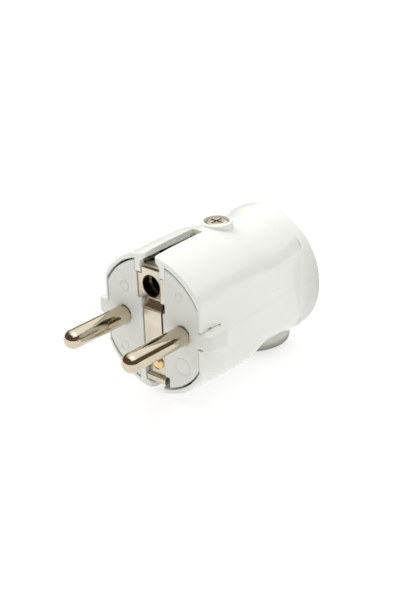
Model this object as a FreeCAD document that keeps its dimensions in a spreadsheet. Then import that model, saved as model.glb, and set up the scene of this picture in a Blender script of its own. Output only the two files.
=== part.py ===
import FreeCAD, Part

import os
import sys

import Sketcher

# Two-pole earthed mains plug with two round pins, an earth socket in the face
# and side-entry cord gland.
# Frame: origin at the centre of the contact face, pins along -Y, the cover
# screw side up (+Z), X across the two pins. Millimetres.

os.makedirs("parts", exist_ok=True)
doc = FreeCAD.newDocument("earthed_plug")
dims = doc.addObject("Spreadsheet::Sheet", "dims")

# Driving sizes, one cell each
VALUES = {
    # outer body; a step is how far a surface lies inside another one
    "belly_radius": 18.75,
    "front_step": 0.65,
    "neck_step": 1.75,
    "rim_step": 1.25,
    "body_length": 43.6,
    "front_round": 0.6,
    "rear_round": 1.0,
    # side flats
    "flat_step": 3.15,
    "flat_taper": 1.85,
    "flat_end": 20.0,
    "rim_width": 3.6,
    "recess_round": 3.0,
    "flat_edge_round": 6.0,
    # walls
    "wall": 1.5,
    "rear_wall": 1.8,
    "front_wall": 1.85,
    "mouth_wall": 0.95,
    "belly_end": 19.5,
    "neck_start": 27.0,
    # slots for the earth springs, top and bottom
    "slot_half": 1.6,
    "slot_flare": 0.6,
    "low_flare": 1.9,
    "slot_length": 17.2,
    "slot_inner_half": 3.15,
    "lip_low_step": 3.0,
    "lip_high_step": 1.8,
    "ledge_width": 1.65,
    "ledge_thick": 1.4,
    "ledge_height": 3.9,
    "slot_end_wall": 1.2,
    # ring in the shells that holds the carrier
    "key_height": 1.2,
    "key_start": 4.1,
    "key_width": 1.4,
    "key_sink": 0.3,
    # cover screw boss
    "boss_place": 24.2,
    "boss_radius": 4.05,
    "boss_rise": 0.25,
    "boss_round": 0.4,
    "boss_wall": 0.85,
    "recess_depth": 2.0,
    "column_radius": 3.3,
    "cover_screw_radius": 1.45,
    "cover_head_radius": 2.95,
    "cover_head_height": 1.9,
    "cover_head_round": 0.8,
    "cross_depth": 1.1,
    "insert_radius": 2.3,
    "insert_depth": 1.0,
    "insert_length": 8.0,
    # pin carrier
    "carrier_gap": 0.5,
    "carrier_flat_gap": 0.12,
    "carrier_depth": 7.2,
    "carrier_edge": 0.35,
    "ear_proud": 3.05,
    "ear_half_height": 2.3,
    "ear_length": 6.8,
    "ear_round": 1.0,
    "ear_front_round": 1.5,
    "ear_rear_round": 1.4,
    "ear_nick": 0.35,
    "ear_nick_start": 2.5,
    "ear_nick_width": 1.2,
    # pins
    "pin_spacing": 19.0,
    "pin_radius": 2.4,
    "pin_length": 19.2,
    "pin_base": 0.05,
    "pin_collar": 0.2,
    "flange_radius": 3.4,
    "flange_start": 6.0,
    "post_radius": 3.0,
    "post_end": 17.5,
    "post_flat": 2.6,
    "wire_radius": 1.4,
    "wire_start": 10.5,
    "clamp_place": 14.0,
    "clamp_tip": 0.6,
    "clamp_screw_radius": 1.5,
    "clamp_head_radius": 2.3,
    "clamp_head_height": 1.4,
    "driver_slot": 0.6,
    "driver_depth": 0.7,
    "overlap": 0.3,
    # back plate
    "plate_gap": 0.2,
    "plate_flat_gap": 0.7,
    "plate_thick": 1.6,
    "plate_screw_across": 9.6,
    "plate_screw_down": 9.4,
    "plate_screw_radius": 1.1,
    "plate_head_radius": 1.9,
    "plate_head_height": 1.3,
    "plate_screw_start": 3.4,
    # folded earth strip
    "sheet": 0.8,
    "sheet_front": 0.3,
    "strip_half": 3.0,
    "strip_right": 2.7,
    "tab_half": 4.25,
    "tab_low": 6.25,
    "tab_high": 12.6,
    "tab_turn": 0.35,
    "dip_top": 7.05,
    "dip_front": 1.5,
    "dip_low": 6.1,
    "ramp_end": 3.9,
    "ramp": 0.5,
    "low_front": 1.3,
    "low_top": 8.6,
    "low_bottom": 13.7,
    "leg_step": 3.75,
    "low_leg_step": 2.95,
    "leg_end": 17.1,
    "bend": 1.0,
    "bend_inside": 0.4,
    "ramp_bend": 1.5,
    "tongue_half": 1.5,
    "tongue_step": 1.15,
    "window_left": 2.4,
    "window_right": 4.35,
    "window_low": 3.85,
    "window_high": 6.2,
    "window_floor": 1.5,
    "channel_right": 3.6,
    "channel_gap": 0.15,
    "channel_depth": 4.5,
    # earth socket
    "earth_up": 10.0,
    "earth_radius": 2.45,
    "sleeve_wall": 0.5,
    "sleeve_start": 3.0,
    "sleeve_end": 16.0,
    "collar_radius": 2.85,
    "collar_wall": 0.6,
    "slit": 0.8,
    "slit_start": 6.0,
    # earth rivet and terminal
    "rivet_down": 10.7,
    "rivet_head_radius": 1.8,
    "rivet_head_height": 0.8,
    "rivet_radius": 1.2,
    "rivet_grip": 2.0,
    "block_half": 3.2,
    "block_top": 7.4,
    "block_bottom": 12.8,
    "block_length": 6.4,
    "block_clamp": 4.2,
    "block_wire_up": 0.5,
    "block_wire_gap": 0.4,
    # cord bush
    "bush_radius": 10.2,
    "bush_set": 7.1,
    "bush_proud": 0.4,
    "bush_height": 8.0,
    "bush_rear_gap": 1.0,
    "bush_round": 0.8,
    "bush_seat_depth": 4.4,
    "bush_seat_width": 1.2,
    "bush_reach": 9.0,
    "cord_radius": 4.2,
    "opening_depth": 6.0,
    "clamp_post_across": 7.0,
    "clamp_post_set": 5.0,
    "clamp_post_radius": 2.4,
    "clamp_seat": 1.5,
    "bar_half": 9.6,
    "bar_width": 5.2,
    "bar_thick": 2.5,
    "bar_round": 0.9,
    "bar_screw_radius": 1.2,
    "bar_head_radius": 2.1,
    "bar_head_height": 1.6,
    "bar_screw_reach": 6.0,
    # clearances
    "fit": 0.05,
    "play": 0.1,
}

# Smooth outlines, each point a share of the length and a share of a step:
# first the turned body from the belly to the neck, then the side flats
BELLY_LINE = [
    (0.115, 0.145), (0.229, 0.04), (0.333, 0.0), (0.424, 0.04), (0.477, 0.23), (0.541, 0.571), (0.606, 0.886),
    (0.677, 0.994), (0.757, 1.006), (0.832, 0.971),
]
REAR_LINE = [(0.885, 0.3), (0.94, 0.0), (1.0, 0.0)]
SIDE_LINE = [
    (-0.023, 0.0), (0.184, 0.0), (0.344, 0.0), (0.436, 0.011), (0.505, 0.097), (0.608, 0.346), (0.757, 0.649),
    (0.881, 0.919), (1.0, 1.178), (1.032, 1.243),
]


class Size:
    """A number together with the sheet rule that gives it."""

    def __init__(self, value, rule):
        self.value = value
        self.rule = rule

    def joined(self, other, sign, value):
        return Size(value, "(%s %s %s)" % (self.rule, sign, other.rule))

    def __add__(self, other):
        other = size(other)
        return self.joined(other, "+", self.value + other.value)

    def __radd__(self, other):
        return size(other) + self

    def __sub__(self, other):
        other = size(other)
        return self.joined(other, "-", self.value - other.value)

    def __rsub__(self, other):
        return size(other) - self

    def __mul__(self, other):
        other = size(other)
        return self.joined(other, "*", self.value * other.value)

    def __rmul__(self, other):
        return size(other) * self

    def __truediv__(self, other):
        other = size(other)
        return self.joined(other, "/", self.value / other.value)

    def __neg__(self):
        return Size(-self.value, "(0 - %s)" % self.rule)


def size(x):
    """Makes a Size of a plain number and leaves a Size as it is."""
    if isinstance(x, Size):
        return x
    return Size(float(x), "%.6g" % x)


class Sizes:
    """The cells of the sheet by name."""


d = Sizes()
for row, (word, number) in enumerate(VALUES.items(), start=1):
    dims.set("A%d" % row, word)
    dims.set("B%d" % row, str(number))
    dims.setAlias("B%d" % row, word)
    setattr(d, word, Size(number, "dims." + word))
doc.recompute()

# Places and radii that follow from the driving sizes
d.front_radius = d.belly_radius - d.front_step
d.neck_radius = d.belly_radius - d.neck_step
d.rim_radius = d.belly_radius - d.rim_step
d.flat_half = d.belly_radius - d.flat_step
d.flat_rear_half = d.flat_half - d.flat_taper
d.flat_rear = d.body_length - d.rim_width
d.mouth_radius = d.belly_radius - d.front_wall
d.mouth_flat_half = d.flat_half - d.mouth_wall
d.lip_low = d.belly_radius - d.lip_low_step
d.lip_high = d.belly_radius - d.lip_high_step
d.ledge_low = d.mouth_radius - d.ledge_height
d.key_radius = d.mouth_radius - d.key_height
d.boss_top = d.belly_radius + d.boss_rise
d.recess_radius = d.boss_radius - d.boss_wall
d.recess_floor = d.boss_top - d.recess_depth
d.insert_end = -d.insert_depth - d.insert_length
d.carrier_radius = d.mouth_radius - d.carrier_gap
d.carrier_flat_half = d.mouth_flat_half - d.carrier_flat_gap
d.ear_reach = d.flat_half + d.ear_proud
d.plate_radius = d.key_radius - d.plate_gap
d.plate_flat_half = d.carrier_flat_half - d.plate_flat_gap
d.leg_top = d.belly_radius - d.leg_step
d.leg_low = d.belly_radius - d.low_leg_step
d.tongue_top = d.belly_radius - d.tongue_step
d.bush_place = d.body_length - d.bush_set
d.bush_front = d.bush_place - d.bush_reach
d.bush_rear = d.body_length - d.bush_rear_gap
d.bush_bottom = d.neck_radius + d.bush_proud
d.bush_top = d.bush_bottom - d.bush_height
d.bush_seat = d.bush_bottom - d.bush_seat_depth
d.bush_seat_radius = d.bush_radius + d.bush_seat_width
d.opening_top = d.bush_bottom - d.opening_depth
d.clamp_post_place = d.bush_place - d.clamp_post_set

# Farther than any surface of the plug
FAR = d.body_length * 1.5


def bind(item, **rules):
    for name, rule in rules.items():
        item.setExpression(name, size(rule).rule)


def put(item, x=0, y=0, z=0):
    for axis, rule in (("x", x), ("y", y), ("z", z)):
        item.setExpression("Placement.Base." + axis, size(rule).rule)
    return item


def box(name, x, y, z):
    """Box between two values along each axis."""
    item = doc.addObject("Part::Box", name)
    (x0, x1), (y0, y1), (z0, z1) = x, y, z
    bind(item, Length=size(x1) - x0, Width=size(y1) - y0, Height=size(z1) - z0)
    return put(item, x0, y0, z0)


TURNS = {
    "x": FreeCAD.Rotation(FreeCAD.Vector(0, 1, 0), 90),
    "y": FreeCAD.Rotation(FreeCAD.Vector(1, 0, 0), -90),
    "z": FreeCAD.Rotation(),
}


def rod(name, axis, radius, start, end, across=0, up=0):
    """Cylinder along an axis, from start to end. The other two coordinates are
    across and up: (y, z) on axis x, (x, z) on axis y and (x, y) on axis z."""
    item = doc.addObject("Part::Cylinder", name)
    item.Placement = FreeCAD.Placement(FreeCAD.Vector(), TURNS[axis])
    bind(item, Radius=radius, Height=size(end) - start)
    place = {"x": (start, across, up), "y": (across, start, up), "z": (across, up, start)}[axis]
    return put(item, *place)


def fuse(name, *items):
    item = doc.addObject("Part::MultiFuse", name)
    item.Shapes = list(items)
    item.Refine = True
    return item


def cut(name, base, *tools):
    item = doc.addObject("Part::Cut", name)
    item.Base = base
    item.Tool = tools[0] if len(tools) == 1 else fuse(name + "_tools", *tools)
    item.Refine = True
    return item


def common(name, base, tool):
    item = doc.addObject("Part::Common", name)
    item.Base = base
    item.Tool = tool
    item.Refine = True
    return item


def soften(name, base, radius, wanted):
    """Rounds the edges of base that the test picks."""
    doc.recompute()
    item = doc.addObject("Part::Fillet", name)
    item.Base = base
    picked = [n for n, edge in enumerate(base.Shape.Edges, start=1) if wanted(edge)]
    if not picked:
        raise RuntimeError("no edge to round for " + name)
    item.Edges = [(n, radius.value, radius.value) for n in picked]
    return item


def body(name):
    return doc.addObject("PartDesign::Body", name)


def outline(owner, name, role, points):
    """Closed outline on one of the body's own planes, each corner held by two
    distances from the origin."""
    sketch = owner.newObject("Sketcher::SketchObject", name)
    plane = [item for item in owner.Origin.OriginFeatures if item.Role == role][0]
    sketch.AttachmentSupport = [(plane, "")]
    sketch.MapMode = "FlatFace"
    places = [(size(a), size(b)) for a, b in points]
    spots = [FreeCAD.Vector(a.value, b.value, 0) for a, b in places]
    count = len(spots)
    for n in range(count):
        sketch.addGeometry(Part.LineSegment(spots[n], spots[(n + 1) % count]), False)
    for n in range(count):
        sketch.addConstraint(Sketcher.Constraint("Coincident", n, 2, (n + 1) % count, 1))
    for n, (a, b) in enumerate(places):
        for kind, line, rule in (("DistanceX", -2, a), ("DistanceY", -1, b)):
            if rule.rule == "0":
                sketch.addConstraint(Sketcher.Constraint("PointOnObject", n, 1, line))
                continue
            held = sketch.addConstraint(Sketcher.Constraint(kind, -1, 1, n, 1, rule.value))
            sketch.setExpression("Constraints[%d]" % held, rule.rule)
    return sketch


def turned(name, points):
    """Body turned about its own Y axis from points (radius, y)."""
    owner = body(name)
    sketch = outline(owner, name + "_profile", "XY_Plane", points)
    feature = owner.newObject("PartDesign::Revolution", name + "_turn")
    feature.Profile = sketch
    feature.ReferenceAxis = (sketch, ["V_Axis"])
    feature.Angle = 360
    owner.Tip = feature
    return owner


def pulled(name, role, points, both=None, length=None, back=False):
    """Body pulled straight from an outline, to both sides or one way."""
    owner = body(name)
    sketch = outline(owner, name + "_profile", role, points)
    feature = owner.newObject("PartDesign::Pad", name + "_pad")
    feature.Profile = sketch
    if both is not None:
        feature.SideType = "Symmetric"
        bind(feature, Length=size(both) * 2)
    else:
        bind(feature, Length=length)
        feature.Reversed = back
    owner.Tip = feature
    return owner


def round_edges(owner, name, radius, wanted):
    """Adds a fillet to the body on the edges that the test picks."""
    doc.recompute()
    base = owner.Tip
    picked = ["Edge%d" % n for n, edge in enumerate(base.Shape.Edges, start=1) if wanted(edge)]
    if not picked:
        raise RuntimeError("no edge to round for " + name)
    feature = owner.newObject("PartDesign::Fillet", name)
    feature.Base = (base, picked)
    bind(feature, Radius=radius)
    owner.Tip = feature
    return owner


def near(a, b):
    return abs(a - b) < 0.01


def circle_at(y):
    """Picks the full circles about the Y axis at one place."""
    return lambda edge: (
        isinstance(edge.Curve, Part.Circle)
        and near(edge.Curve.Center.y, y.value)
        and near(abs(edge.Curve.Axis.y), 1)
    )


def in_front_plane(edge):
    """Picks the edges that lie in the plane of the contact face."""
    return all(near(point.y, 0) for point in edge.discretize(5))


PARTS = []


def piece(label, item):
    item.Label = label
    PARTS.append(item)
    return item


# Outer form of the two shells: a turned body, flattened at both sides


def smooth_edge(points):
    """One smooth edge through points (x, y) in the XY plane."""
    curve = Part.BSplineCurve()
    curve.interpolate([FreeCAD.Vector(x, y, 0) for x, y in points])
    return curve.toShape()


def closed_face(edge, *corners):
    """Face between a smooth edge and straight lines through more corners."""
    ends = [edge.Vertexes[-1].Point, *[FreeCAD.Vector(x, y, 0) for x, y in corners], edge.Vertexes[0].Point]
    lines = [Part.makeLine(a, b) for a, b in zip(ends, ends[1:])]
    return Part.Face(Part.Wire([edge, *lines]))


def shaped(name, shape):
    item = doc.addObject("Part::Feature", name)
    item.Shape = shape
    item.Placement = FreeCAD.Placement()
    return item


length = d.body_length.value
round_line = [(d.front_radius.value, 0)]
round_line += [(d.belly_radius.value - step * d.neck_step.value, length * place) for place, step in BELLY_LINE]
rim_rise = d.neck_step.value - d.rim_step.value
round_line += [(d.rim_radius.value - step * rim_rise, length * place) for place, step in REAR_LINE]
round_face = closed_face(smooth_edge(round_line), (0, length), (0, 0))
outer_round = shaped(
    "outer_round", round_face.revolve(FreeCAD.Vector(), FreeCAD.Vector(0, 1, 0), 360)
)
rear_rounded = soften("rear_rounded", outer_round, d.rear_round, circle_at(d.body_length))

side_line = [(d.flat_half.value - step * d.flat_taper.value, length * place) for place, step in SIDE_LINE]
right_edge = smooth_edge(side_line)
left_edge = smooth_edge([(-x, y) for x, y in reversed(side_line)])
corners = [edge.Vertexes[n].Point for edge in (right_edge, left_edge) for n in (0, -1)]
side_face = Part.Face(Part.Wire([
    right_edge,
    Part.makeLine(corners[1], corners[2]),
    left_edge,
    Part.makeLine(corners[3], corners[0]),
]))
half_high = FreeCAD.Vector(0, 0, FAR.value)
side_face.translate(-half_high)
outer_sides = shaped("outer_sides", side_face.extrude(half_high * 2))
flatted = common("flatted", outer_round, outer_sides)


def along_flat(edge):
    """The long edges between a side flat and the turned surface."""
    bounds = edge.BoundBox
    return (
        bounds.XMin * bounds.XMax > 0
        and bounds.YLength > d.body_length.value / 2
        and min(abs(bounds.ZMin), abs(bounds.ZMax)) > 1
    )


flatted_soft = soften("flatted_soft", flatted, d.flat_edge_round, along_flat)
flat_part = common("flat_part", flatted_soft, box("flat_zone", (-FAR, FAR), (-1, d.flat_rear + d.overlap), (-FAR, FAR)))

# Full-width rim at the rear, with a hollow in front of it at each side
past_rear = d.body_length + 1
rim_block = box("rim_block", (-FAR, FAR), (d.flat_rear, past_rear), (-FAR, FAR))
hollow_centre = d.flat_rear_half + d.recess_round
hollow_tools = []
for side, sign in (("left", -1), ("right", 1)):
    hollow_tools.append(
        rod("hollow_" + side, "z", d.recess_round, -FAR, FAR, hollow_centre * sign, d.flat_rear)
    )
    edges = (hollow_centre, FAR) if sign > 0 else (-FAR, -hollow_centre)
    hollow_tools.append(
        box("hollow_open_" + side, edges, (d.flat_rear, d.flat_rear + d.recess_round), (-FAR, FAR))
    )
rim_zone = cut("rim_zone", rim_block, *hollow_tools)
rim = common("rim", rear_rounded, rim_zone)
skin = fuse("skin", flat_part, rim)
skin_soft = soften("skin_soft", skin, d.front_round, in_front_plane)

# Inside of the shells
cavity_end = d.body_length - d.rear_wall
cavity_round = turned("cavity_round", [
    (0, -1),
    (d.mouth_radius, -1),
    (d.mouth_radius, d.belly_end),
    (d.neck_radius - d.wall, d.neck_start),
    (d.neck_radius - d.wall, cavity_end),
    (0, cavity_end),
])
cavity_sides = pulled("cavity_sides", "XY_Plane", [
    (-d.mouth_flat_half, -2),
    (d.mouth_flat_half, -2),
    (d.mouth_flat_half, d.carrier_depth + d.overlap),
    (d.flat_half - d.wall, d.flat_end),
    (d.flat_rear_half - d.wall, d.flat_rear),
    (d.flat_rear_half - d.wall, past_rear),
    (d.wall - d.flat_rear_half, past_rear),
    (d.wall - d.flat_rear_half, d.flat_rear),
    (d.wall - d.flat_half, d.flat_end),
    (-d.mouth_flat_half, d.carrier_depth + d.overlap),
], both=FAR)
cavity = common("cavity", cavity_round, cavity_sides)
shell_wall = cut("shell_wall", skin_soft, cavity)

# Ring that keys into the groove around the carrier
key_end = d.key_start + d.key_width
key_ring = cut(
    "key_ring",
    rod("key_outer", "y", d.mouth_radius + d.key_sink, d.key_start, key_end),
    rod("key_inner", "y", d.key_radius, d.key_start - 1, key_end + 1),
)
key_band = common(
    "key_band",
    key_ring,
    box(
        "key_zone",
        (-d.mouth_flat_half - d.key_sink, d.mouth_flat_half + d.key_sink),
        (0, FAR),
        (-FAR, FAR),
    ),
)

ledge_half = d.slot_inner_half + d.ledge_width
ear_back = d.ear_length + d.play
ear_top = d.ear_half_height + d.play


def half_shell(name, sign):
    """The shared features of one half, above (+1) or below (-1) the seam."""

    def span(low, high):
        return (low, high) if sign > 0 else (-size(high), -size(low))

    wall_half = common(name + "_wall", shell_wall, box(name + "_side", (-FAR, FAR), (-FAR, FAR), span(0, FAR)))
    key_zone = box(name + "_key_side", (-FAR, FAR), (0, FAR), span(d.ear_half_height * 2, FAR))
    key_half = common(name + "_key", key_band, key_zone)
    ledge = box(
        name + "_ledge",
        (-ledge_half, ledge_half if sign > 0 else 0),
        (0, d.ledge_thick),
        span(d.ledge_low, d.mouth_radius + d.key_sink),
    )
    end_wall = box(
        name + "_slot_end",
        (-ledge_half, ledge_half),
        (d.slot_length, d.slot_length + d.slot_end_wall),
        span(d.ledge_low, d.mouth_radius + d.key_sink),
    )
    slot = pulled(name + "_slot", "XZ_Plane", [
        (-d.slot_inner_half, (d.ledge_low - d.wall) * sign),
        (-d.slot_inner_half, d.lip_low * sign),
        (-d.slot_half, d.lip_high * sign),
        (-d.slot_half, d.belly_radius * sign * 1.5),
        (d.slot_half, d.belly_radius * sign * 1.5),
        (d.slot_half, d.lip_high * sign),
        (d.slot_inner_half, d.lip_low * sign),
        (d.slot_inner_half, (d.ledge_low - d.wall) * sign),
    ], length=d.slot_length + 1, back=True)
    put(slot, 0, -1, 0)
    wide = d.slot_flare if sign > 0 else d.low_flare
    flare = pulled(name + "_flare", "XY_Plane", [
        (-d.slot_half - wide, -1),
        (d.slot_half + wide, -1),
        (d.slot_half + wide, 0),
        (d.slot_half + wide * 0.3, wide * 0.35),
        (d.slot_half, wide),
        (-d.slot_half, wide),
        (-d.slot_half - wide * 0.3, wide * 0.35),
        (-d.slot_half - wide, 0),
    ], length=FAR, back=sign < 0)
    put(flare, 0, 0, d.lip_low * sign)
    ears = [
        box(name + "_ear_right", (d.carrier_flat_half, FAR), (-1, ear_back), span(-1, ear_top)),
        box(name + "_ear_left", (-FAR, -d.carrier_flat_half), (-1, ear_back), span(-1, ear_top)),
    ]
    return fuse(name + "_half", wall_half, key_half, ledge, end_wall), [slot, flare] + ears


# Upper shell with the raised screw boss
half_up, tools_up = half_shell("up", 1)
column_up = rod("up_column", "z", d.column_radius, 0, d.recess_floor + d.overlap, 0, d.boss_place)
boss_blank = rod("up_boss_blank", "z", d.boss_radius, d.recess_floor - d.wall, d.boss_top, 0, d.boss_place)
boss = soften("up_boss", boss_blank, d.boss_round, lambda edge: near(edge.BoundBox.ZMin, d.boss_top.value))
upper_blank = fuse("upper_blank", half_up, column_up, boss)
nicks = []
for side, sign in (("left", -1), ("right", 1)):
    edges = (d.carrier_flat_half, FAR) if sign > 0 else (-FAR, -d.carrier_flat_half)
    nicks.append(box(
        "up_ear_nick_" + side,
        edges,
        (d.ear_nick_start, d.ear_nick_start + d.ear_nick_width),
        (0, ear_top + d.ear_nick),
    ))
upper_shell = piece("upper_shell", cut(
    "upper_shell",
    upper_blank,
    rod("up_recess", "z", d.recess_radius, d.recess_floor, FAR, 0, d.boss_place),
    rod("up_screw_hole", "z", d.cover_screw_radius + d.play * 2, -1, d.recess_floor + 1, 0, d.boss_place),
    *nicks,
    *tools_up,
))

# Lower shell with the opening for the cord bush
half_low, tools_low = half_shell("low", -1)
column_low = rod("low_column", "z", d.column_radius, d.wall / 2 - d.neck_radius, 0, 0, d.boss_place)
lower_blank = fuse("lower_blank", half_low, column_low)
opening = common(
    "low_opening",
    rod("low_opening_round", "z", d.bush_radius + d.play, -FAR, -d.opening_top, 0, d.bush_place),
    box("low_opening_zone", (-FAR, FAR), (0, d.bush_rear + d.play), (-FAR, 0)),
)
lower_shell = piece("lower_shell", cut(
    "lower_shell",
    lower_blank,
    opening,
    rod("low_insert_hole", "z", d.insert_radius, d.insert_end, 1, 0, d.boss_place),
    *tools_low,
))

# Cover screw with a pan head and a cross recess, and its threaded insert
cover_top = d.recess_floor + d.cover_head_height
cover_head_blank = rod("cover_head_blank", "z", d.cover_head_radius, d.recess_floor, cover_top, 0, d.boss_place)
cover_head = soften(
    "cover_head", cover_head_blank, d.cover_head_round, lambda edge: near(edge.BoundBox.ZMin, cover_top.value)
)
cover_shank = rod(
    "cover_shank",
    "z",
    d.cover_screw_radius,
    d.insert_end,
    d.recess_floor + d.overlap,
    0,
    d.boss_place,
)
cross_arm = d.cover_head_radius * 0.62
cross_half = d.driver_slot / 2
cover_screw = piece("cover_screw", cut(
    "cover_screw",
    fuse("cover_screw_blank", cover_head, cover_shank),
    box(
        "cross_a",
        (-cross_arm, cross_arm),
        (d.boss_place - cross_half, d.boss_place + cross_half),
        (cover_top - d.cross_depth, FAR),
    ),
    box(
        "cross_b",
        (-cross_half, cross_half),
        (d.boss_place - cross_arm, d.boss_place + cross_arm),
        (cover_top - d.cross_depth, FAR),
    ),
))
cover_nut = piece("cover_nut", cut(
    "cover_nut",
    rod(
        "cover_nut_blank",
        "z",
        d.insert_radius,
        d.insert_end,
        -d.insert_depth,
        0,
        d.boss_place,
    ),
    rod("cover_nut_thread", "z", d.cover_screw_radius + d.fit, -FAR, 0, 0, d.boss_place),
))

# Carrier disc with two ears
carrier_blank = common(
    "carrier_blank",
    rod("carrier_round", "y", d.carrier_radius, 0, d.carrier_depth),
    box("carrier_sides", (-d.carrier_flat_half, d.carrier_flat_half), (-1, FAR), (-FAR, FAR)),
)
carrier_disc = soften(
    "carrier_disc",
    carrier_blank,
    d.carrier_edge,
    lambda edge: near(edge.BoundBox.YMax, 0) and near(edge.BoundBox.YMin, 0),
)
ear_bar = box(
    "ear_bar",
    (-d.ear_reach, d.ear_reach),
    (0, d.ear_length),
    (-d.ear_half_height, d.ear_half_height),
)


def ear_edge(place=None):
    """Picks the upright edges of the ears' ends at one place along the axis,
    or without a place the edges along their top and bottom."""

    def wanted(edge):
        bounds = edge.BoundBox
        if not near(abs(bounds.XMin), d.ear_reach.value) or not near(bounds.XLength, 0):
            return False
        if place is None:
            return near(bounds.ZLength, 0)
        return near(bounds.YMin, place.value) and near(bounds.YLength, 0)

    return wanted


ear_front_soft = soften("ear_front_soft", ear_bar, d.ear_front_round, ear_edge(size(0)))
ear_rear_soft = soften("ear_rear_soft", ear_front_soft, d.ear_rear_round, ear_edge(d.ear_length))
ear_soft = soften("ear_soft", ear_rear_soft, d.ear_round, ear_edge())
pin_half = d.pin_spacing / 2
carrier_tools = []
for side, sign in (("left", -1), ("right", 1)):
    carrier_tools.append(
        rod("pin_hole_" + side, "y", d.pin_radius + d.pin_collar + d.fit, -1, FAR, pin_half * sign)
    )
    carrier_tools.append(
        rod("pin_seat_" + side, "y", d.flange_radius + d.fit, d.flange_start, FAR, pin_half * sign)
    )
    carrier_tools.append(rod(
        "plate_screw_hole_" + side,
        "y",
        d.plate_screw_radius,
        d.plate_screw_start,
        FAR,
        d.plate_screw_across * sign,
        -d.plate_screw_down,
    ))
for word, sign in (("top", 1), ("bottom", -1)):
    edges = (d.ledge_low - d.play, FAR) if sign > 0 else (-FAR, d.play - d.ledge_low)
    carrier_tools.append(box("leg_notch_" + word, (-ledge_half - d.play, ledge_half + d.play), (-1, FAR), edges))
groove = cut(
    "carrier_groove",
    rod("groove_outer", "y", FAR, d.key_start - d.play, key_end + d.play),
    rod("groove_inner", "y", d.key_radius - d.play * 2, 0, FAR),
    box(
        "groove_ears",
        (-FAR * 2, FAR * 2),
        (0, FAR),
        (d.play * 2 - d.ear_half_height * 2, d.ear_half_height * 2 - d.play * 2),
    ),
)
sheet_back = d.sheet_front + d.sheet
dip_back = d.dip_front + d.sheet
low_back = d.low_front + d.sheet
channel = pulled("sheet_channel", "YZ_Plane", [
    (-1, d.ledge_low),
    (sheet_back, d.ledge_low),
    (sheet_back, d.dip_top),
    (dip_back, d.dip_top - d.ramp),
    (dip_back, d.dip_low),
    (sheet_back, d.ramp_end),
    (sheet_back, d.ramp * 1.5 - d.low_top),
    (low_back, -d.low_top),
    (low_back, -d.ledge_low),
    (-1, -d.ledge_low),
], length=d.channel_right + d.strip_half + d.channel_gap)
put(channel, -d.strip_half - d.channel_gap, 0, 0)
tab_pocket = box(
    "tab_pocket",
    (-d.tab_half - d.channel_gap, d.tab_half),
    (-1, sheet_back + d.tab_turn),
    (d.tab_low - d.play, d.ledge_low),
)
window = box(
    "window",
    (d.window_left, d.window_right),
    (-1, d.carrier_depth - d.window_floor),
    (d.window_low, d.window_high),
)
side_gap = box(
    "side_gap",
    (d.strip_right, d.channel_right),
    (-1, d.channel_depth),
    (-d.low_top, d.window_low + d.overlap),
)
carrier_tools += [
    groove,
    channel,
    tab_pocket,
    window,
    side_gap,
    box(
        "behind_carrier",
        (-d.plate_flat_half - d.play, d.plate_flat_half + d.play),
        (d.carrier_depth, FAR),
        (-d.ear_half_height * 2, d.ear_half_height * 2),
    ),
    rod("collar_hole", "y", d.collar_radius + d.collar_wall + d.fit, -1, d.sleeve_start, 0, d.earth_up),
    rod("sleeve_hole", "y", d.earth_radius + d.sleeve_wall + d.fit, -1, FAR, 0, d.earth_up),
    rod("rivet_hole", "y", d.rivet_radius + d.fit, -1, FAR, 0, -d.rivet_down),
]
pin_carrier = piece("pin_carrier", cut(
    "pin_carrier", fuse("carrier_with_ears", carrier_disc, ear_soft), *carrier_tools
))

# Back plate that holds the pins in the carrier, and its two screws
plate_end = d.carrier_depth + d.plate_thick
plate_blank = common(
    "plate_blank",
    rod("plate_round", "y", d.plate_radius, d.carrier_depth, plate_end),
    box("plate_sides", (-d.plate_flat_half, d.plate_flat_half), (0, FAR), (-FAR, FAR)),
)
plate_tools = [
    rod("plate_sleeve_hole", "y", d.earth_radius + d.sleeve_wall + d.fit, 0, FAR, 0, d.earth_up),
    rod("plate_rivet_hole", "y", d.rivet_radius + d.fit, 0, FAR, 0, -d.rivet_down),
    box("plate_top_notch", (-ledge_half - d.play, ledge_half + d.play), (0, FAR), (d.ledge_low - d.play, FAR)),
    box("plate_low_notch", (-ledge_half - d.play, ledge_half + d.play), (0, FAR), (-FAR, d.play - d.ledge_low)),
]
for side, sign in (("left", -1), ("right", 1)):
    plate_tools.append(rod("post_hole_" + side, "y", d.post_radius + d.fit, 0, FAR, pin_half * sign))
    plate_tools.append(rod(
        "plate_clear_" + side,
        "y",
        d.plate_screw_radius + d.play,
        0,
        FAR,
        d.plate_screw_across * sign,
        -d.plate_screw_down,
    ))
carrier_back_plate = piece("carrier_back_plate", cut("carrier_back_plate", plate_blank, *plate_tools))

plate_screws = []
for side, sign in (("left", -1), ("right", 1)):
    place = (d.plate_screw_across * sign, -d.plate_screw_down)
    head = rod(
        "plate_head_" + side, "y", d.plate_head_radius, plate_end, plate_end + d.plate_head_height, *place
    )
    shank = rod(
        "plate_shank_" + side, "y", d.plate_screw_radius, d.plate_screw_start, plate_end + d.overlap, *place
    )
    nick = box(
        "plate_nick_" + side,
        (d.plate_screw_across * sign - cross_half, d.plate_screw_across * sign + cross_half),
        (plate_end + d.plate_head_height - d.driver_depth, FAR),
        (-FAR, FAR),
    )
    plate_screws.append(cut("plate_screw_" + side, fuse("plate_screw_blank_" + side, head, shank), nick))
screw_pair = doc.addObject("Part::Compound", "back_plate_screws")
screw_pair.Links = plate_screws
back_plate_screws = piece("back_plate_screws", screw_pair)

# Line pins: turned in one with the flange and the terminal post
round_end = d.pin_radius * 0.96
collar_edge = d.pin_radius + d.pin_collar


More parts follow.
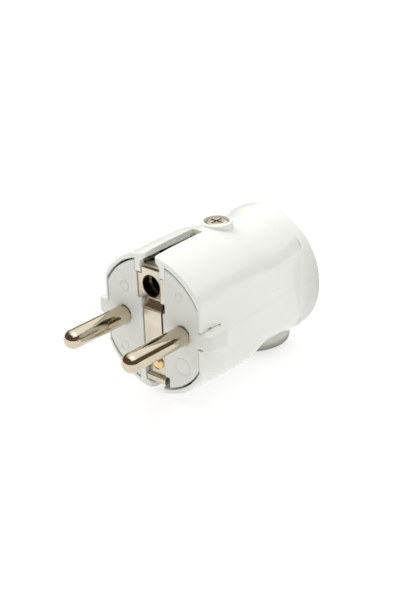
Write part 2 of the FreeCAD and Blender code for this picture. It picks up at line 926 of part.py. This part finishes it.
def line_pin(name, sign):
    shaft = turned(name + "_shaft", [
        (0, -d.pin_length),
        (d.pin_radius, -d.pin_length),
        (d.pin_radius, d.pin_base),
        (collar_edge, d.pin_base),
        (collar_edge, d.flange_start),
        (d.flange_radius, d.flange_start),
        (d.flange_radius, d.carrier_depth),
        (d.post_radius, d.carrier_depth),
        (d.post_radius, d.post_end),
        (0, d.post_end),
    ])
    round_edges(shaft, name + "_nose", round_end, circle_at(-d.pin_length))
    put(shaft, pin_half * sign, 0, 0)
    return piece(name, cut(
        name,
        shaft,
        rod(name + "_wire_hole", "y", d.wire_radius, d.wire_start, FAR, pin_half * sign),
        box(name + "_flat", (-FAR, FAR), (plate_end, FAR), (d.post_flat, FAR)),
        rod(
            name + "_thread",
            "z",
            d.clamp_screw_radius + d.fit,
            0,
            FAR,
            pin_half * sign,
            d.clamp_place,
        ),
    ))


def clamp_screw(name, x, y, seat, tip, radius, head_radius, head_height):
    """Slotted screw standing on a seat, its tip below."""
    head = rod(name + "_head", "z", head_radius, seat, size(seat) + head_height, x, y)
    shank = rod(name + "_shank", "z", radius, tip, size(seat) + d.overlap, x, y)
    nick = box(
        name + "_nick",
        (-FAR, FAR),
        (size(y) - cross_half, size(y) + cross_half),
        (size(seat) + size(head_height) - d.driver_depth, FAR),
    )
    return piece(name, cut(name, fuse(name + "_blank", head, shank), nick))


for side, sign in (("left", -1), ("right", 1)):
    line_pin(side + "_pin", sign)
    clamp_screw(
        side + "_terminal_screw",
        pin_half * sign,
        d.clamp_place,
        d.post_flat,
        d.clamp_tip,
        d.clamp_screw_radius,
        d.clamp_head_radius,
        d.clamp_head_height,
    )

# Earth strip: one folded sheet with the socket plate, the middle strip, the
# recessed rivet plate and a spring leg at the top and at the bottom
leg_back = d.leg_end - d.sheet
strip_profile = pulled("strip_profile", "YZ_Plane", [
    (leg_back, d.leg_top),
    (d.sheet_front, d.leg_top),
    (d.sheet_front, d.dip_top),
    (d.dip_front, d.dip_top - d.ramp),
    (d.dip_front, d.dip_low),
    (d.sheet_front, d.ramp_end),
    (d.sheet_front, d.ramp * 1.5 - d.low_top),
    (d.low_front, -d.low_top),
    (d.low_front, -d.low_bottom),
    (d.sheet_front, -d.low_bottom - d.ramp),
    (d.sheet_front, -d.leg_low),
    (leg_back, -d.leg_low),
    (leg_back, d.sheet - d.leg_low),
    (low_back, d.sheet - d.leg_low),
    (low_back, -d.low_top),
    (sheet_back, d.ramp * 1.5 - d.low_top),
    (sheet_back, d.ramp_end),
    (dip_back, d.dip_low),
    (dip_back, d.dip_top - d.ramp),
    (sheet_back, d.dip_top),
    (sheet_back, d.leg_top - d.sheet),
    (leg_back, d.leg_top - d.sheet),
], both=d.strip_half)


def across_at(*places):
    """Picks the straight edges across the strip at places (y, z)."""
    spots = [(y.value, z.value) for y, z in places]

    def wanted(edge):
        bounds = edge.BoundBox
        return near(bounds.XLength, d.strip_half.value * 2) and any(
            near(bounds.YMin, y) and near(bounds.YMax, y) and near(bounds.ZMin, z) for y, z in spots
        )

    return wanted


round_edges(strip_profile, "strip_bend", d.bend, across_at((d.sheet_front, d.leg_top)))
round_edges(strip_profile, "strip_bend_inside", d.bend_inside, across_at(
    (sheet_back, d.leg_top - d.sheet), (low_back, d.sheet - d.leg_low)
))
round_edges(strip_profile, "strip_low_bend", d.bend_inside, across_at(
    (d.sheet_front, -d.leg_low), (d.sheet_front, -d.low_bottom - d.ramp)
))
round_edges(strip_profile, "strip_ramp_bends", d.ramp_bend, across_at(
    (d.dip_front, d.dip_low), (d.sheet_front, d.ramp_end)
))
round_edges(strip_profile, "strip_step_bends", d.bend_inside, across_at(
    (d.sheet_front, d.ramp * 1.5 - d.low_top), (d.low_front, -d.low_top)
))
strip_trimmed = cut(
    "strip_trimmed",
    strip_profile,
    box("strip_trim", (d.strip_right, FAR), (-1, d.carrier_depth), (-d.low_top, d.dip_top)),
)
tab = pulled("strip_tab", "XY_Plane", [
    (-d.tab_half, d.sheet_front),
    (d.strip_half, d.sheet_front),
    (d.tab_half - d.channel_gap, d.sheet_front + d.tab_turn),
    (d.tab_half - d.channel_gap, sheet_back + d.tab_turn),
    (d.strip_half, sheet_back),
    (-d.tab_half, sheet_back),
], length=d.tab_high - d.tab_low)
put(tab, 0, 0, d.tab_low)
tab_open = cut(
    "strip_tab_open",
    tab,
    box("strip_tab_notch", (-d.strip_half, d.strip_right), (-1, d.carrier_depth), (0, d.dip_top)),
)
tongues = []
for word, sign in (("top", 1), ("bottom", -1)):
    edges = (d.leg_top - d.sheet, d.tongue_top) if sign > 0 else (-d.tongue_top, d.sheet - d.leg_low)
    tongues.append(box(
        "tongue_" + word, (-d.tongue_half, d.tongue_half), (leg_back - d.fit, d.leg_end), edges
    ))
collar = rod(
    "strip_collar", "y", d.collar_radius + d.collar_wall, sheet_back - d.overlap, d.sleeve_start, 0, d.earth_up
)
earth_strip = piece("earth_strip", cut(
    "earth_strip",
    fuse("strip_blank", strip_trimmed, tab_open, collar, *tongues),
    rod("strip_socket_hole", "y", d.collar_radius, -1, d.sleeve_start + 1, 0, d.earth_up),
    rod("strip_rivet_hole", "y", d.rivet_radius + d.fit, -1, d.carrier_depth, 0, -d.rivet_down),
))

# Earth socket sleeve, split at the top and the bottom
sleeve_outer = d.earth_radius + d.sleeve_wall
earth_socket_sleeve = piece("earth_socket_sleeve", cut(
    "earth_socket_sleeve",
    rod("sleeve_blank", "y", sleeve_outer, d.sleeve_start, d.sleeve_end, 0, d.earth_up),
    rod("sleeve_bore", "y", d.earth_radius, 0, FAR, 0, d.earth_up),
    box(
        "sleeve_slit",
        (-d.slit / 2, d.slit / 2),
        (d.slit_start, FAR),
        (d.earth_up - sleeve_outer * 2, d.earth_up + sleeve_outer * 2),
    ),
))

# Rivet with a low domed head, and the terminal block that it carries
rivet_turned = turned("rivet_turned", [
    (0, d.low_front - d.rivet_head_height),
    (d.rivet_head_radius * 0.55, d.low_front - d.rivet_head_height),
    (d.rivet_head_radius, d.low_front - d.rivet_head_height * 0.4),
    (d.rivet_head_radius, d.low_front),
    (d.rivet_radius, d.low_front),
    (d.rivet_radius, plate_end + d.rivet_grip),
    (0, plate_end + d.rivet_grip),
])
earth_rivet = piece("earth_rivet", put(rivet_turned, 0, 0, -d.rivet_down))
wire_up = d.block_wire_up - d.rivet_down
block_end = plate_end + d.block_length
block_clamp = plate_end + d.block_clamp
earth_terminal = piece("earth_terminal", cut(
    "earth_terminal",
    box("terminal_block", (-d.block_half, d.block_half), (plate_end, block_end), (-d.block_bottom, -d.block_top)),
    rod("block_rivet_hole", "y", d.rivet_radius, plate_end - 1, plate_end + d.rivet_grip, 0, -d.rivet_down),
    rod("block_wire_hole", "y", d.wire_radius, plate_end + d.rivet_grip + d.block_wire_gap, FAR, 0, wire_up),
    rod("block_thread", "z", d.clamp_screw_radius + d.fit, wire_up, 0, 0, block_clamp),
))
clamp_screw(
    "earth_terminal_screw",
    0,
    block_clamp,
    -d.block_top,
    wire_up + d.clamp_tip,
    d.clamp_screw_radius,
    d.clamp_head_radius * 0.9,
    d.clamp_head_height,
)

# Cord bush in the lower shell, with two posts for the cord clamp
bush_stub = rod("bush_stub", "z", d.bush_radius, -d.bush_bottom, -d.bush_top, 0, d.bush_place)
bush_zone = box("bush_zone", (-FAR, FAR), (0, d.bush_rear), (-FAR, 0))
bush_clipped = common("bush_clipped", bush_stub, bush_zone)
bush_soft = soften(
    "bush_soft", bush_clipped, d.bush_round, lambda edge: near(edge.BoundBox.ZMax, -d.bush_bottom.value)
)
inner_clip = cut(
    "bush_inner_clip",
    box("bush_inner_zone", (-FAR, FAR), (0, FAR), (-d.opening_top, 0)),
    box("bush_keep", (-FAR, FAR), (d.bush_front, cavity_end), (-FAR, 1)),
)
front_clip = box("bush_front_clip", (-FAR, FAR), (0, d.bush_front), (-d.bush_seat, 0))
seat_ring = common(
    "bush_seat_ring",
    rod("bush_seat_round", "z", d.bush_seat_radius, -d.bush_seat, -d.bush_top, 0, d.bush_place),
    cavity,
)
posts = []
pilots = []
for side, sign in (("left", -1), ("right", 1)):
    posts.append(rod(
        "clamp_post_" + side,
        "z",
        d.clamp_post_radius,
        -d.bush_top - d.overlap,
        -d.clamp_seat,
        d.clamp_post_across * sign,
        d.clamp_post_place,
    ))
    pilots.append(rod(
        "clamp_pilot_" + side,
        "z",
        d.bar_screw_radius,
        -d.clamp_seat - d.bar_screw_reach,
        0,
        d.clamp_post_across * sign,
        d.clamp_post_place,
    ))
cord_bush = piece("cord_bush", cut(
    "cord_bush",
    fuse("bush_blank", bush_soft, seat_ring, *posts),
    inner_clip,
    front_clip,
    rod("cord_hole", "z", d.cord_radius, -FAR, 0, 0, d.bush_place),
    *pilots,
))

# Cord clamp bar and its two screws
bar_back = d.clamp_post_place + d.bar_width / 2
bar_top = d.bar_thick - d.clamp_seat
bar_blank = box(
    "bar_blank",
    (-d.bar_half, d.bar_half),
    (d.clamp_post_place - d.bar_width / 2, bar_back),
    (-d.clamp_seat, bar_top),
)
bar_soft = soften(
    "bar_soft",
    bar_blank,
    d.bar_round,
    lambda edge: near(edge.BoundBox.ZLength, d.bar_thick.value),
)
cord_clamp = piece("cord_clamp", cut("cord_clamp", bar_soft, *[
    rod(
        "bar_hole_" + side,
        "z",
        d.bar_screw_radius + d.play,
        -FAR,
        FAR,
        d.clamp_post_across * sign,
        d.clamp_post_place,
    )
    for side, sign in (("left", -1), ("right", 1))
]))
for side, sign in (("left", -1), ("right", 1)):
    clamp_screw(
        side + "_clamp_screw",
        d.clamp_post_across * sign,
        d.clamp_post_place,
        bar_top,
        -d.clamp_seat - d.bar_screw_reach,
        d.bar_screw_radius,
        d.bar_head_radius,
        d.bar_head_height,
    )

# Build, check every object and write the pieces
doc.recompute()
faults = []
for item in doc.Objects:
    if "Invalid" in item.State or "Error" in item.State:
        faults.append("%s: %s" % (item.Name, item.State))
for item in PARTS:
    shape = item.Shape
    if shape.isNull() or not shape.isValid():
        faults.append("%s: bad shape" % item.Label)
if faults:
    for line in faults:
        print(line)
    sys.exit(1)
for item in PARTS:
    item.Shape.exportStep("parts/%s.step" % item.Label)
    print("%-24s solids %d volume %8.1f" % (item.Label, len(item.Shape.Solids), item.Shape.Volume))
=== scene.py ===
from math import cos, pi, radians, sin

import bpy
from mathutils import Matrix, Vector


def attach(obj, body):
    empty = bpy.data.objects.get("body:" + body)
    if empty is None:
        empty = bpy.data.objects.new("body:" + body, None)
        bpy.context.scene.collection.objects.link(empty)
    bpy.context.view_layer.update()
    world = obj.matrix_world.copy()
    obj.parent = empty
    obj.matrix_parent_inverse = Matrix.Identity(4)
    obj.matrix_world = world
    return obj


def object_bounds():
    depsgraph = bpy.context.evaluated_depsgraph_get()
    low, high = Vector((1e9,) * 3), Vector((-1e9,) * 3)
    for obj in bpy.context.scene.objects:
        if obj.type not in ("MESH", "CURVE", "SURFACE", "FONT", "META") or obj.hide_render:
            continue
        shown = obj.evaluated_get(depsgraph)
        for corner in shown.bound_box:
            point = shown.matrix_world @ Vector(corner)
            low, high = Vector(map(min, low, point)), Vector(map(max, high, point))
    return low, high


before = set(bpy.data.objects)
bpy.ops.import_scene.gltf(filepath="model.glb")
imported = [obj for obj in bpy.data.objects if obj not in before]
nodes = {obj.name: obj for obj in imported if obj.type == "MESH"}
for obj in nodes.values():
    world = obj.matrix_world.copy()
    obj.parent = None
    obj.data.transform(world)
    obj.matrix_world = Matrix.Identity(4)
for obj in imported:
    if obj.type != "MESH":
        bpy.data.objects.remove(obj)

CAD_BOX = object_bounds()
MM = 0.001
scene = bpy.context.scene


# Node trees of the materials and the world


class Tree:
    """Short calls for the nodes of a tree."""

    def __init__(self, tree):
        self.tree = tree

    def add(self, kind, **settings):
        node = self.tree.nodes.new(kind)
        for key, value in settings.items():
            setattr(node, key, value)
        return node

    def link(self, source, target):
        self.tree.links.new(source, target)

    def math(self, kind, *values):
        """One step of arithmetic on sockets and numbers."""
        node = self.add("ShaderNodeMath", operation=kind)
        for socket, value in zip(node.inputs, values):
            if isinstance(value, (int, float)):
                socket.default_value = value
            else:
                self.link(value, socket)
        return node.outputs[0]

    def spread(self, source, low, high, to_low, to_high, smooth=False):
        """Maps low to high onto to_low to to_high and holds it beyond them."""
        node = self.add("ShaderNodeMapRange")
        if smooth:
            node.interpolation_type = "SMOOTHSTEP"
        for key, value in (
            ("From Min", low),
            ("From Max", high),
            ("To Min", to_low),
            ("To Max", to_high),
        ):
            node.inputs[key].default_value = value
        self.link(source, node.inputs["Value"])
        return node.outputs["Result"]


class Shader(Tree):
    """A material with a Principled shader."""

    def __init__(self, name, **sockets):
        self.material = bpy.data.materials.new(name)
        self.material.use_nodes = True
        super().__init__(self.material.node_tree)
        self.shader = self.tree.nodes["Principled BSDF"]
        self.set(**sockets)
        self.coords = self.add("ShaderNodeTexCoord").outputs["Object"]
        self.bumps = []

    def set(self, **sockets):
        """Sets inputs of the shader, with _ for each blank in their names."""
        for key, value in sockets.items():
            self.shader.inputs[key.replace("_", " ")].default_value = value

    def noise(self, scale, detail=4.0, stretch=None, roughness=0.5):
        node = self.add("ShaderNodeTexNoise")
        node.inputs["Scale"].default_value = scale
        node.inputs["Detail"].default_value = detail
        node.inputs["Roughness"].default_value = roughness
        source = self.coords
        if stretch:
            mapping = self.add("ShaderNodeMapping")
            mapping.inputs["Scale"].default_value = stretch
            self.link(source, mapping.inputs["Vector"])
            source = mapping.outputs["Vector"]
        self.link(source, node.inputs["Vector"])
        return node.outputs["Fac"]

    def mix(self, amount, a, b):
        """Mixes colours, each a socket or three linear numbers."""
        node = self.add("ShaderNodeMix", data_type="RGBA")
        self.link(amount, node.inputs["Factor"])
        for socket, value in ((node.inputs[6], a), (node.inputs[7], b)):
            if isinstance(value, tuple):
                socket.default_value = (*value, 1.0)
            else:
                self.link(value, socket)
        return node.outputs[2]

    def clouds(self, source, a, b):
        """Mixes two colours by the middle range of a noise."""
        return self.mix(self.spread(source, *CLOUD_RANGE, 0.0, 1.0), a, b)

    def axes(self):
        node = self.add("ShaderNodeSeparateXYZ")
        self.link(self.coords, node.inputs[0])
        return node.outputs

    def distance(self, x=0.0, y=0.0, z=0.0, along=None):
        """Distance from a point in millimetres, or from an axis through it."""
        away = self.add("ShaderNodeVectorMath", operation="SUBTRACT")
        self.link(self.coords, away.inputs[0])
        away.inputs[1].default_value = (x * MM, y * MM, z * MM)
        flat = self.add("ShaderNodeVectorMath", operation="MULTIPLY")
        self.link(away.outputs[0], flat.inputs[0])
        flat.inputs[1].default_value = tuple(0.0 if axis == along else 1.0 for axis in "xyz")
        size = self.add("ShaderNodeVectorMath", operation="LENGTH")
        self.link(flat.outputs[0], size.inputs[0])
        return size.outputs["Value"]

    def colour(self, source):
        self.link(source, self.shader.inputs["Base Color"])

    def roughness(self, source, low, high):
        """Roughness from low to high by the middle range of a noise."""
        value = self.spread(source, *GRAIN_RANGE, low, high)
        self.link(value, self.shader.inputs["Roughness"])

    def bump(self, source, height, edge=None):
        """Adds a bump of that height in millimetres over the ones before; the
        first one also rounds the edges to the radius edge."""
        node = self.add("ShaderNodeBump")
        node.inputs["Strength"].default_value = 1.0
        node.inputs["Distance"].default_value = height * MM
        self.link(source, node.inputs["Height"])
        if self.bumps:
            self.link(self.bumps[-1].outputs[0], node.inputs["Normal"])
        elif edge:
            bevel = self.add("ShaderNodeBevel", samples=6)
            bevel.inputs["Radius"].default_value = edge * MM
            self.link(bevel.outputs[0], node.inputs["Normal"])
        self.bumps.append(node)
        self.link(node.outputs[0], self.shader.inputs["Normal"])


def srgb(r, g, b):
    """Linear colour of an sRGB value from 0 to 255."""
    return tuple(
        (c / 255 / 12.92) if c <= 10 else ((c / 255 + 0.055) / 1.055) ** 2.4 for c in (r, g, b)
    )


def dim(colour, share):
    """The colour with that share of its brightness."""
    return tuple(c * share for c in colour)


# What the noises' middle ranges are spread over, for colour and roughness
CLOUD_RANGE = (0.35, 0.7)
GRAIN_RANGE = (0.3, 0.7)

# Colour of the painted shade inside the shells and deep in the carrier
PAINTED_SHADE_COLOUR = srgb(34, 33, 30)
# Spots: how much of the dark colour they take, and its share of brightness
SPOT_AMOUNT, SPOT_SHARE = 0.75, 0.35
# Painted shade on a dark low edge: height that it takes, amount and share of brightness
LOW_SHADE_HEIGHT, LOW_SHADE_AMOUNT, LOW_SHADE_SHARE = 2.4, 0.9, 0.3
# Light that wanders inside the plastic: share of it for each colour, and mm
GLOW_RADIUS, GLOW_SCALE = (1.0, 0.95, 0.85), 0.6
# Waves of moulded plastic and tarnish and tool marks of metal, in mm
PLASTIC_WAVE = 0.012
METAL_TARNISH, METAL_LINES = 0.12, 0.002


def plastic(
    name,
    colour,
    rough,
    fine=0.0006,
    edge=0.22,
    tint=0.05,
    dark=None,
    spots=(),
    low=None,
    soft=0.0,
    gloss=1.5,
):
    """Moulded plastic with faint flow clouding and fine grain. Where they are
    asked for it has small dark spots, painted shade on the inside, and painted
    shade on a low edge that gets darker down to the height low."""
    look = Shader(name, IOR=gloss)
    look.set(
        Subsurface_Weight=soft,
        Subsurface_Radius=GLOW_RADIUS,
        Subsurface_Scale=GLOW_SCALE * MM,
    )
    base = look.clouds(look.noise(60.0, 3.0), colour, dim(colour, 1.0 - tint))
    for x, y, z, radius in spots:
        away = look.distance(x, y, z)
        near = look.spread(away, radius * 0.5 * MM, radius * MM, SPOT_AMOUNT, 0.0)
        base = look.mix(near, base, dim(colour, SPOT_SHARE))
    # Painted shade inside, where the mask dark is one
    if dark:
        base = look.mix(dark(look), base, PAINTED_SHADE_COLOUR)
    # Painted shade on the low edge, darker towards the bottom down to the height low
    if low:
        height = look.axes()[2]
        top = (low + LOW_SHADE_HEIGHT) * MM
        down = look.spread(height, low * MM, top, LOW_SHADE_AMOUNT, 0.0, smooth=True)
        base = look.mix(down, base, dim(colour, LOW_SHADE_SHARE))
    look.colour(base)
    look.roughness(look.noise(900.0, 2.0), rough - 0.05, rough + 0.06)
    look.bump(look.noise(1200.0, 2.0), fine, edge)
    look.bump(look.noise(90.0, 2.0), PLASTIC_WAVE)
    return look


def metal(name, colour, rough, stretch=(1.0, 1.0, 1.0), edge=0.12, wave=0.006):
    """Plated or bare metal with fine tool marks and light tarnish."""
    look = Shader(name, Metallic=1.0)
    lines = look.noise(700.0, 3.0, stretch, 0.6)
    look.colour(look.clouds(look.noise(220.0), colour, dim(colour, 1.0 - METAL_TARNISH)))
    look.roughness(lines, rough * 0.75, rough * 1.35)
    look.bump(lines, METAL_LINES, edge)
    look.bump(look.noise(450.0, 2.0), wave)
    return look


# Limits of the painted shade inside the shells, in mm: radius and half width
# between the flats by depth, the slots' lips, which stay light with no painted shade, and
# where front and rear begin
INSIDE_RADIUS = (19.5, 27.0, 17.25, 16.0)
INSIDE_FLAT = (20.0, 40.0, 14.9, 12.9)
LIP_HALF, LIP_HEIGHT = 5.5, 15.8
INSIDE_FRONT, INSIDE_REAR = (1.3, 3.2), 42.4
# The carrier's channel, which gets painted shade: half width, top, the depths where the shade
# grows and its amount at the deepest
CHANNEL_HALF, CHANNEL_TOP = 5.2, 14.0
CHANNEL_DEPTH, CHANNEL_SHADE = (0.9, 2.6), 0.97


def shade_inside_shell(look):
    """Mask of the painted shade: one between the shells' walls and zero on their outside."""
    x, y, z = look.axes()
    round_limit = look.spread(y, *(value * MM for value in INSIDE_RADIUS))
    flat_limit = look.spread(y, *(value * MM for value in INSIDE_FLAT))
    width = look.math("ABSOLUTE", x)
    lip = look.math(
        "MULTIPLY",
        look.math("LESS_THAN", width, LIP_HALF * MM),
        look.math("GREATER_THAN", look.math("ABSOLUTE", z), LIP_HEIGHT * MM),
    )
    answer = look.math("LESS_THAN", look.distance(along="y"), round_limit)
    for part in (
        look.math("LESS_THAN", width, flat_limit),
        look.spread(y, *(value * MM for value in INSIDE_FRONT), 0.0, 1.0),
        look.math("LESS_THAN", y, INSIDE_REAR * MM),
        look.math("SUBTRACT", 1.0, lip),
    ):
        answer = look.math("MULTIPLY", answer, part)
    return answer


def shade_deep_in_carrier(look):
    """Mask of the painted shade: grows from zero to nearly one with the depth of the middle
    channel.
    """
    x, y, z = look.axes()
    middle = look.math(
        "MULTIPLY",
        look.math("LESS_THAN", look.math("ABSOLUTE", x), CHANNEL_HALF * MM),
        look.math("LESS_THAN", z, CHANNEL_TOP * MM),
    )
    depth = look.spread(y, *(value * MM for value in CHANNEL_DEPTH), 0.0, CHANNEL_SHADE)
    return look.math("MULTIPLY", middle, depth)


# Materials

# Specks on the right of the shell: x, y, z and radius in mm
SPECKS = ((15.5, 11.8, -6.56, 0.16), (14.75, 29.74, 2.73, 0.2))

# Painted shade on the shells' inside walls; the specks are real marks
shell = plastic(
    "white_shell_look",
    srgb(240, 244, 239),
    0.12,
    edge=0.14,
    tint=0.015,
    soft=0.12,
    gloss=1.65,
    dark=shade_inside_shell,
    spots=SPECKS,
)
# Painted shade deep in the carrier's middle channel
carrier = plastic("carrier_look", srgb(232, 235, 230), 0.42, tint=0.03, dark=shade_deep_in_carrier)
# Painted shade on the bush's low edge, darker towards the bottom
bush = plastic("bush_look", srgb(217, 218, 210), 0.55, fine=0.004, low=-17.0)
pins = metal("pin_look", srgb(214, 203, 182), 0.07, (1.0, 0.04, 1.0), wave=0.003)
strip = metal("strip_look", srgb(214, 206, 190), 0.2, (1.0, 1.0, 0.06))
sleeve = metal("sleeve_look", srgb(120, 114, 104), 0.16, (1.0, 0.05, 1.0))
brass = metal("brass_look", srgb(236, 208, 152), 0.24)
cover_head = metal("cover_head_look", srgb(240, 230, 210), 0.1, edge=0.2, wave=0.02)
steel = metal("screw_look", srgb(205, 198, 182), 0.16)

# Every node that isn't listed here is a steel screw
LOOKS = {
    "upper_shell": shell,
    "lower_shell": shell,
    "pin_carrier": carrier,
    "carrier_back_plate": carrier,
    "cord_bush": bush,
    "cord_clamp": bush,
    "left_pin": pins,
    "right_pin": pins,
    "earth_strip": strip,
    "earth_socket_sleeve": sleeve,
    "earth_rivet": brass,
    "earth_terminal": brass,
    "cover_screw": cover_head,
    "cover_nut": brass,
}
for name, node in nodes.items():
    look = LOOKS.get(name, steel)
    node.data.materials.clear()
    node.data.materials.append(look.material)

# Plain low rings on the carrier's face: name, x, z and radius in mm

FACE_RINGS = (
    ("face_ring_upper_left", -8.87, 7.94, 1.3),
    ("face_ring_upper_right", 8.82, 9.87, 1.0),
    ("face_ring_lower_left", -9.87, -8.63, 1.2),
    ("face_ring_lower_right", 9.3, -8.5, 2.2),
)
RING_HALF_WIDTH = 0.24
RING_RISE = 0.07
AROUND, ACROSS = 72, 10


def face_ring(name, x, z, radius):
    """Ring with an oval section, half sunk in the contact face."""
    points = []
    faces = []
    for i in range(AROUND):
        turn = 2 * pi * i / AROUND
        here, there = i * ACROSS, (i + 1) % AROUND * ACROSS
        for j in range(ACROSS):
            tilt = 2 * pi * j / ACROSS
            far = radius + RING_HALF_WIDTH * cos(tilt)
            place = (x + far * cos(turn), RING_RISE * sin(tilt), z + far * sin(turn))
            points.append(tuple(value * MM for value in place))
            after = (j + 1) % ACROSS
            faces.append((here + j, here + after, there + after, there + j))
    mesh = bpy.data.meshes.new(name)
    mesh.from_pydata(points, [], faces)
    for face in mesh.polygons:
        face.use_smooth = True
    mesh.materials.append(carrier.material)
    ring = bpy.data.objects.new(name, mesh)
    scene.collection.objects.link(ring)
    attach(ring, "root")


for values in FACE_RINGS:
    face_ring(*values)

# Camera at the photograph's place: it looks along -back, its distance is in
# mm, and left, up and focal length are in pixels of the photograph

AZIMUTH, ELEVATION, ROLL = radians(42.38), radians(25.48), radians(-2.05)
DISTANCE, LEFT, UP, FOCAL = 306.32, -48.11, 24.19, 1283.53
PHOTO_HEIGHT = 601.0
SENSOR = 36.0
CLIP_NEAR, CLIP_FAR = 0.01, 50.0

back = Vector(
    (sin(AZIMUTH) * cos(ELEVATION), -cos(AZIMUTH) * cos(ELEVATION), sin(ELEVATION))
)
right = Vector((0, 0, 1)).cross(back).normalized()
above = back.cross(right)
right, above = (
    right * cos(ROLL) + above * sin(ROLL),
    above * cos(ROLL) - right * sin(ROLL),
)
mm_per_pixel = DISTANCE / FOCAL
spot = back * DISTANCE - right * (LEFT * mm_per_pixel) + above * (UP * mm_per_pixel)
camera_data = bpy.data.cameras.new("camera")
camera = bpy.data.objects.new("camera", camera_data)
scene.collection.objects.link(camera)
camera_data.sensor_width = SENSOR
camera_data.lens = FOCAL * SENSOR / PHOTO_HEIGHT
camera_data.clip_start = CLIP_NEAR
camera_data.clip_end = CLIP_FAR
facing = Matrix((right, above, back)).transposed()
camera.matrix_world = Matrix.Translation(spot * MM) @ facing.to_4x4()
scene.camera = camera

# Floor: a pale sheet a hair below the part that glows a little, which takes
# most of the shadow away as in the photograph

FLOOR_GAP = 0.00002
FLOOR_HALF = 4.0
FLOOR_GLOW = 0.7


def floor():
    mesh = bpy.data.meshes.new("floor")
    height = CAD_BOX[0][2] - FLOOR_GAP
    corners = ((-1, -1), (1, -1), (1, 1), (-1, 1))
    mesh.from_pydata(
        [(x * FLOOR_HALF, y * FLOOR_HALF, height) for x, y in corners], [], [(0, 1, 2, 3)]
    )
    item = bpy.data.objects.new("floor", mesh)
    scene.collection.objects.link(item)
    look = Shader("floor_look", Roughness=0.9)
    look.colour(look.mix(look.noise(3.0), srgb(160, 160, 160), srgb(157, 157, 157)))
    look.set(
        Specular_IOR_Level=0.0,
        Emission_Color=(1, 1, 1, 1),
        Emission_Strength=FLOOR_GLOW,
    )
    mesh.materials.append(look.material)


floor()

# World: the room is bright above and dark near the horizon, most of all in
# front, with a clear lower edge of the brightness on the right

RISE_LEAN_Y, RISE_LEAN_X, RISE_RANGE = 0.5, 0.1, (0.55, 1.0)
SIDE_LEAN_X, SIDE_RANGE = 0.6, (0.2, 0.26)
ROOM_DARK = (0.13, 0.095, 0.062, 1)
ROOM_BRIGHT = (1.19, 1.19, 1.17, 1)


def room():
    world = bpy.data.worlds.new("studio")
    scene.world = world
    world.use_nodes = True
    sky = Tree(world.node_tree)
    parts = sky.add("ShaderNodeSeparateXYZ")
    sky.link(sky.add("ShaderNodeTexCoord").outputs["Generated"], parts.inputs[0])
    x, y, z = parts.outputs
    lean = sky.math(
        "SUBTRACT",
        sky.math("MULTIPLY", y, RISE_LEAN_Y),
        sky.math("MULTIPLY", x, RISE_LEAN_X),
    )
    slope = sky.math("SUBTRACT", z, sky.math("MULTIPLY", x, SIDE_LEAN_X))
    rise = sky.spread(sky.math("ADD", z, lean), *RISE_RANGE, 0.0, 1.0, smooth=True)
    side = sky.spread(slope, *SIDE_RANGE, 0.0, 1.0, smooth=True)
    ramp = sky.add("ShaderNodeValToRGB")
    sky.link(sky.math("MULTIPLY", rise, side), ramp.inputs["Fac"])
    stops = zip(ramp.color_ramp.elements, (0.0, 1.0), (ROOM_DARK, ROOM_BRIGHT))
    for stop, position, colour in stops:
        stop.position = position
        stop.color = colour
    backdrop = sky.tree.nodes["Background"]
    sky.link(ramp.outputs["Color"], backdrop.inputs["Color"])
    backdrop.inputs["Strength"].default_value = 1.0


room()

# Soft lights: name, place, aim, width, height, power, and whether polished
# metal shows them

LIGHTS = (
    ("top_box", (0.3, -0.05, 0.95), (0, 0.02, 0), 1.0, 1.0, 2.9, True),
    ("left_box", (-0.75, -0.1, 0.6), (0, 0.02, 0), 0.6, 0.6, 5.0, False),
    ("right_box", (0.8, 0.0, 0.6), (0, 0.02, 0), 0.7, 0.6, 1.65, False),
    ("front_box", (-0.2, -0.95, 0.35), (0, 0, 0), 0.7, 0.6, 1.33, False),
)


def soft_box(name, place, aim, width, height, power, seen):
    """Soft light; one that isn't seen leaves no highlight in polished metal."""
    data = bpy.data.lights.new(name, "AREA")
    data.shape = "RECTANGLE"
    data.size = width
    data.size_y = height
    data.energy = power
    item = bpy.data.objects.new(name, data)
    item.visible_glossy = seen
    scene.collection.objects.link(item)
    item.location = place
    item.rotation_euler = (Vector(aim) - Vector(place)).to_track_quat("-Z", "Y").to_euler()


for values in LIGHTS:
    soft_box(*values)

view = scene.view_settings
view.view_transform = "Standard"
view.look = "None"
view.exposure = 0.0
view.gamma = 1.0
